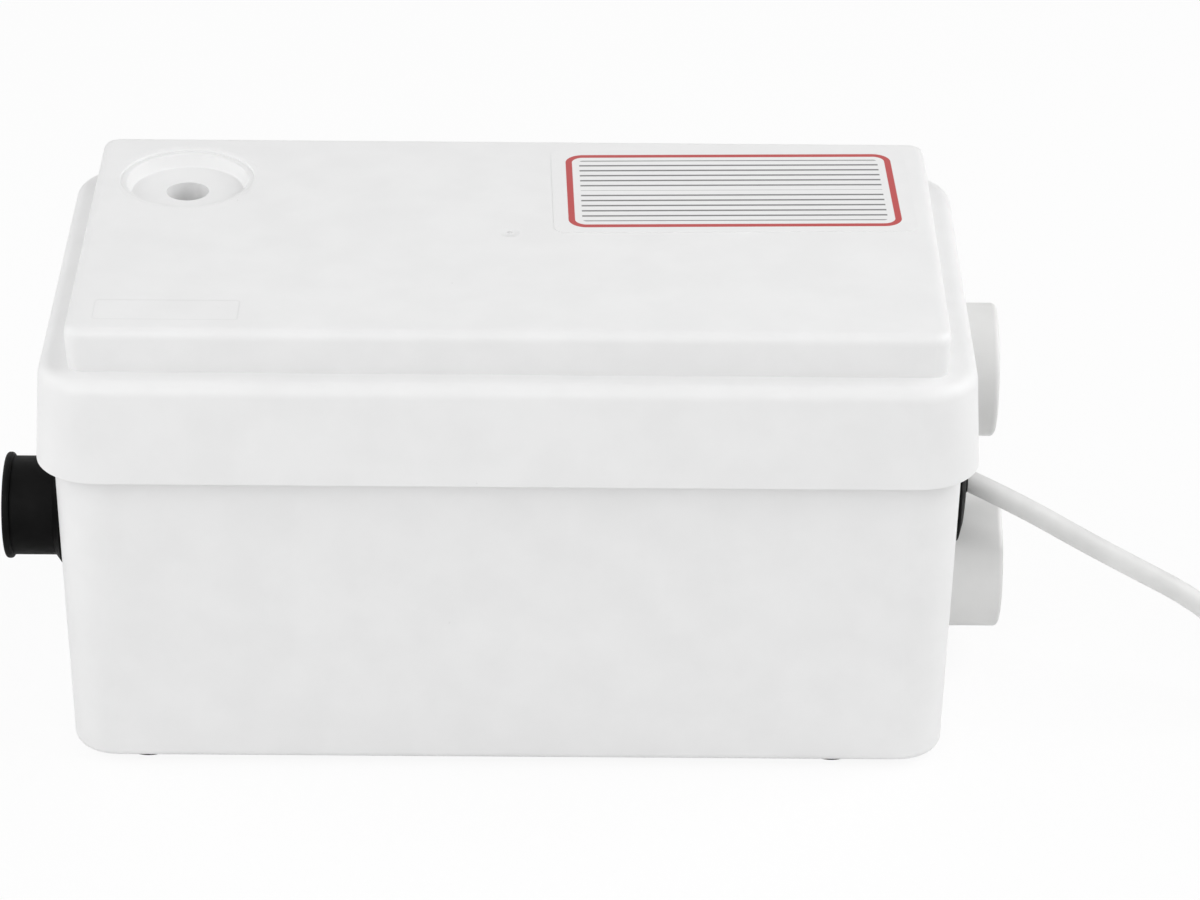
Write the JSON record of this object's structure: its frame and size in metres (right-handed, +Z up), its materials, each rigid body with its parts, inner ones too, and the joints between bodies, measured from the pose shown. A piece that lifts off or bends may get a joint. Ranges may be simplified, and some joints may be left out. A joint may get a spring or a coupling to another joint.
{
  "type": "grey water pump",
  "caption": "White box-shaped grey water pump with a stepped lift-off lid, a rubber discharge sleeve, capped inlet spigots and a mains lead.",
  "frame": {"origin": "on the floor, under the middle of the case", "axes": "+X from the discharge sleeve to the capped inlets along the case, +Y to the back, +Z up"},
  "size_m": [0.5374, 0.2164, 0.1577],
  "materials": {
    "white_abs": "satin injection-moulded ABS",
    "white_pp": "satin moulded polypropylene",
    "black_rubber": "moulded rubber",
    "grey_pp": "moulded polypropylene",
    "box_plastic": "moulded ABS",
    "sticker_vinyl": "blank white vinyl with a red border",
    "cast_aluminium": "die cast",
    "can_aluminium": "drawn and plain",
    "zinc_steel": "zinc plated",
    "ground_steel": "ground bright",
    "lamination_steel": "stacked electrical sheet",
    "copper_wire": "enamelled copper winding",
    "seal_ceramic": "lapped ceramic",
    "charcoal": "pressed activated charcoal",
    "silicone": "silicone sheet",
    "nylon": "moulded nylon",
    "pvc_lead": "extruded white PVC",
    "plug_pvc": "moulded white PVC",
    "nickel_brass": "nickel plated brass"
  },
  "bodies": {
    "tank_unit": {"tank": "white_abs", "lid_gasket": "black_rubber", "foot_front_left": "black_rubber", "foot_front_right": "black_rubber", "foot_rear_left": "black_rubber", "foot_rear_right": "black_rubber", "discharge_sleeve": "black_rubber", "upper_inlet_ring": "black_rubber", "lower_inlet_ring": "black_rubber", "discharge_hose": "black_rubber", "pump_mounts": "black_rubber", "cable_gland": "black_rubber", "check_valve_body": "grey_pp", "check_valve_seat": "grey_pp", "volute_casing": "grey_pp", "suction_strainer": "grey_pp", "pressure_bell": "grey_pp", "switch_box": "box_plastic", "switch_box_cover": "box_plastic", "motor_base": "cast_aluminium", "motor_cover": "cast_aluminium", "motor_can": "can_aluminium", "run_capacitor": "can_aluminium", "hose_clips": "zinc_steel", "pump_mount_screws": "zinc_steel", "motor_tie_bolts": "zinc_steel", "switch_box_screws": "zinc_steel", "lower_bearing": "ground_steel", "upper_bearing": "ground_steel", "check_flap_pin": "ground_steel", "inlet_flap_pin": "ground_steel", "plunger_spring": "ground_steel", "stator_core": "lamination_steel", "stator_winding": "copper_wire", "seal_seat": "seal_ceramic", "pressure_membrane": "silicone", "terminal_block": "nylon", "microswitch": "nylon", "gland_nut": "nylon", "inner_lead": "pvc_lead", "motor_lead": "pvc_lead", "mains_cable": "pvc_lead", "cable_coil": "pvc_lead", "cable_tail": "pvc_lead", "mains_plug": "plug_pvc", "plug_pins": "nickel_brass"},
    "lid_unit": {"lid": "white_abs", "filter_basket": "grey_pp", "filter_charcoal": "charcoal", "label_plate": "sticker_vinyl"},
    "upper_cap": {"upper_inlet_cap": "white_pp"},
    "lower_cap": {"lower_inlet_cap": "white_pp"},
    "rotor": {"rotor_core": "lamination_steel", "rotor_shaft": "ground_steel", "impeller": "grey_pp", "seal_head": "seal_ceramic"},
    "discharge_flap": {"check_flap": "black_rubber"},
    "lower_inlet_flap": {"inlet_flap": "black_rubber"},
    "plunger": {"switch_plunger": "box_plastic"},
    "button": {"microswitch_button": "nylon"}
  },
  "joints": [
    {"name": "lid_lift", "type": "slide", "parent": "tank_unit", "child": "lid_unit", "axis": [0, 0, 1], "range_m": [0, 0.19]},
    {"name": "upper_cap_pull", "type": "slide", "parent": "tank_unit", "child": "upper_cap", "axis": [1, 0, 0], "range_m": [0, 0.06]},
    {"name": "lower_cap_pull", "type": "slide", "parent": "tank_unit", "child": "lower_cap", "axis": [1, 0, 0], "range_m": [0, 0.06]},
    {"name": "rotor_spin", "type": "hinge", "parent": "tank_unit", "child": "rotor", "pos_m": [-0.005, 0, 0.08], "axis": [0, 0, 1], "continuous": true},
    {"name": "discharge_flap_swing", "type": "hinge", "parent": "tank_unit", "child": "discharge_flap", "pos_m": [-0.10975, -0.031, 0.0866], "axis": [0, 1, 0], "range_deg": [0, 50]},
    {"name": "inlet_flap_swing", "type": "hinge", "parent": "tank_unit", "child": "lower_inlet_flap", "pos_m": [0.13655, 0.003, 0.0554], "axis": [0, 1, 0], "range_deg": [0, 60]},
    {"name": "plunger_rise", "type": "slide", "parent": "tank_unit", "child": "plunger", "axis": [0, 0, 1], "range_m": [0, 0.0015], "stiffness_N_per_m": 300, "deforming": ["plunger_spring"]},
    {"name": "button_press", "type": "slide", "parent": "tank_unit", "child": "button", "axis": [0, 0, 1], "range_m": [0, 0.0015]}
  ],
  "couplings": [
    {"joint": "button_press", "follows": "plunger_rise", "ratio": 1}
  ]
}
